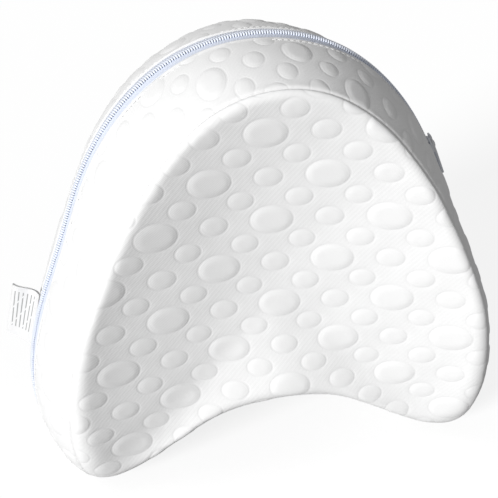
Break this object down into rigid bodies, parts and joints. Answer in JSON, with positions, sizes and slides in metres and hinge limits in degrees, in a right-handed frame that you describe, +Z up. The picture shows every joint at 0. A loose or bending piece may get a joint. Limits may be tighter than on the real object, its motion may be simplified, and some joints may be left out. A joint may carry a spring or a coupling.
{
  "type": "knee pillow",
  "caption": "Contoured knee and leg pillow in a white quilted knit cover: arched top, dished faces, concave base between rounded lobes, a zip over the arch and a folded side label.",
  "frame": {"origin": "on the floor, in the middle of the whole piece with its label; the pillow's own middle plane stands 6.3 mm to the right of it", "axes": "+X to the right across the width, -Y towards the front face, +Z up from the lobes to the top of the arch"},
  "size_m": [0.2624, 0.1252, 0.2239],
  "materials": {
    "knit": "matt white jacquard knit",
    "tape": "woven bluish-white zip tape",
    "coil": "bluish-white nylon coil",
    "slider": "white enamelled metal",
    "pull": "white enamelled metal",
    "label": "smooth white woven tape, bare of words"
  },
  "bodies": {
    "root": {"pillow_body": "knit", "zip_tape_front": "tape", "zip_tape_rear": "tape", "zip_coil": "coil", "zip_slider": "slider", "zip_pull": "pull", "care_label": "label"}
  },
  "joints": []
}
